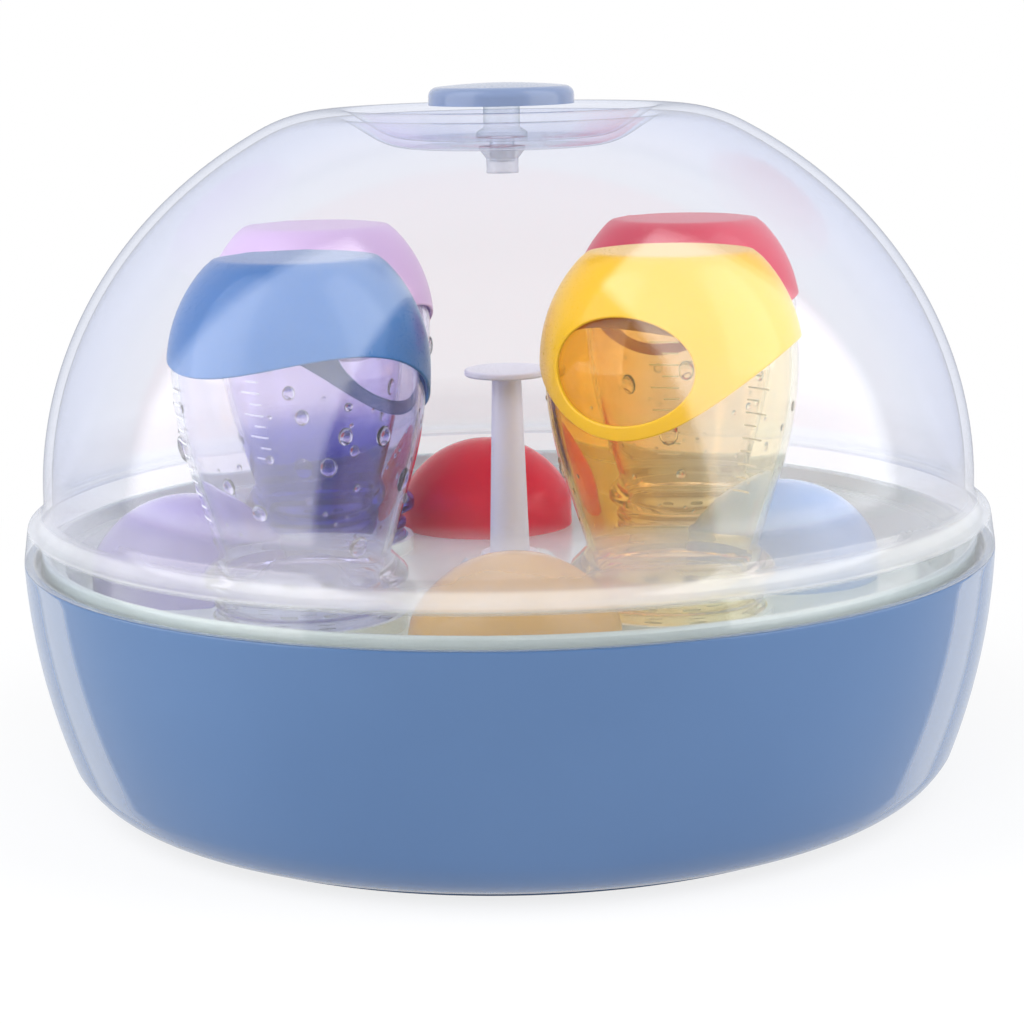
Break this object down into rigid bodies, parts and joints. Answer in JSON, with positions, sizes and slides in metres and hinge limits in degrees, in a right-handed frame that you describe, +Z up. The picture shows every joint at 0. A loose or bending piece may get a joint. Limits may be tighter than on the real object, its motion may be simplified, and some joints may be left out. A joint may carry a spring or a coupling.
{
  "type": "microwave steam sterilizer",
  "caption": "Round microwave steam sterilizer: blue water bowl, clear domed lid with a knob, lift-out tray on a post, holding upturned baby bottles and their hoods.",
  "frame": {"origin": "centre of the foot ring, on the surface that the sterilizer stands on", "axes": "+Z up along the axis of the bowl and lid, front is -Y, +X to the right as seen from the front"},
  "size_m": [0.27, 0.27, 0.1955],
  "materials": {
    "base_blue": "moulded, high gloss",
    "lid_clear": "clear moulded plastic, polished",
    "tray_white": "translucent off-white, satin gloss",
    "post_white": "moulded, satin gloss",
    "knob_blue": "moulded, high gloss",
    "stem_clear": "translucent moulded plastic",
    "bottle_lilac": "clear tinted plastic",
    "bottle_amber": "clear tinted plastic",
    "bottle_purple": "clear tinted plastic",
    "bottle_red": "clear tinted plastic",
    "sleeve_blue": "soft-touch grip, satin gloss",
    "sleeve_yellow": "soft-touch grip, satin gloss",
    "sleeve_purple": "soft-touch grip, satin gloss",
    "sleeve_red": "soft-touch grip, satin gloss",
    "hood_blue": "moulded, high gloss",
    "hood_yellow": "moulded, high gloss",
    "hood_purple": "moulded, high gloss",
    "hood_red": "moulded, high gloss"
  },
  "bodies": {
    "base": {"base_bowl": "base_blue"},
    "tray": {"tray": "tray_white", "lift_post": "post_white", "post_grip_disc": "post_white", "post_retainer": "post_white"},
    "lid": {"lid_dome": "lid_clear", "lid_knob": "knob_blue", "knob_stem": "stem_clear", "knob_clip": "stem_clear"},
    "bottle_front_left": {"bottle_front_left": "bottle_lilac", "grip_sleeve_front_left": "sleeve_blue"},
    "bottle_front_right": {"bottle_front_right": "bottle_amber", "grip_sleeve_front_right": "sleeve_yellow"},
    "bottle_rear_left": {"bottle_rear_left": "bottle_purple", "grip_sleeve_rear_left": "sleeve_purple"},
    "bottle_rear_right": {"bottle_rear_right": "bottle_red", "grip_sleeve_rear_right": "sleeve_red"},
    "hood_front": {"hood_front": "hood_yellow"},
    "hood_rear": {"hood_rear": "hood_red"},
    "hood_left": {"hood_left": "hood_purple"},
    "hood_right": {"hood_right": "hood_blue"}
  },
  "joints": [
    {"name": "tray_lift", "type": "slide", "parent": "base", "child": "tray", "axis": [0, 0, 1], "range_m": [0, 0.12]},
    {"name": "lid_lift", "type": "slide", "parent": "tray", "child": "lid", "axis": [0, 0, 1], "range_m": [0, 0.15]},
    {"name": "bottle_front_left_lift", "type": "slide", "parent": "tray", "child": "bottle_front_left", "axis": [0, 0, 1], "range_m": [0, 0.003]},
    {"name": "bottle_front_right_lift", "type": "slide", "parent": "tray", "child": "bottle_front_right", "axis": [0, 0, 1], "range_m": [0, 0.003]},
    {"name": "bottle_rear_left_lift", "type": "slide", "parent": "tray", "child": "bottle_rear_left", "axis": [0, 0, 1], "range_m": [0, 0.003]},
    {"name": "bottle_rear_right_lift", "type": "slide", "parent": "tray", "child": "bottle_rear_right", "axis": [0, 0, 1], "range_m": [0, 0.003]},
    {"name": "hood_front_lift", "type": "slide", "parent": "tray", "child": "hood_front", "axis": [0, 0, 1], "range_m": [0, 0.02]},
    {"name": "hood_rear_lift", "type": "slide", "parent": "tray", "child": "hood_rear", "axis": [0, 0, 1], "range_m": [0, 0.02]},
    {"name": "hood_left_lift", "type": "slide", "parent": "tray", "child": "hood_left", "axis": [0, 0, 1], "range_m": [0, 0.02]},
    {"name": "hood_right_lift", "type": "slide", "parent": "tray", "child": "hood_right", "axis": [0, 0, 1], "range_m": [0, 0.02]}
  ]
}
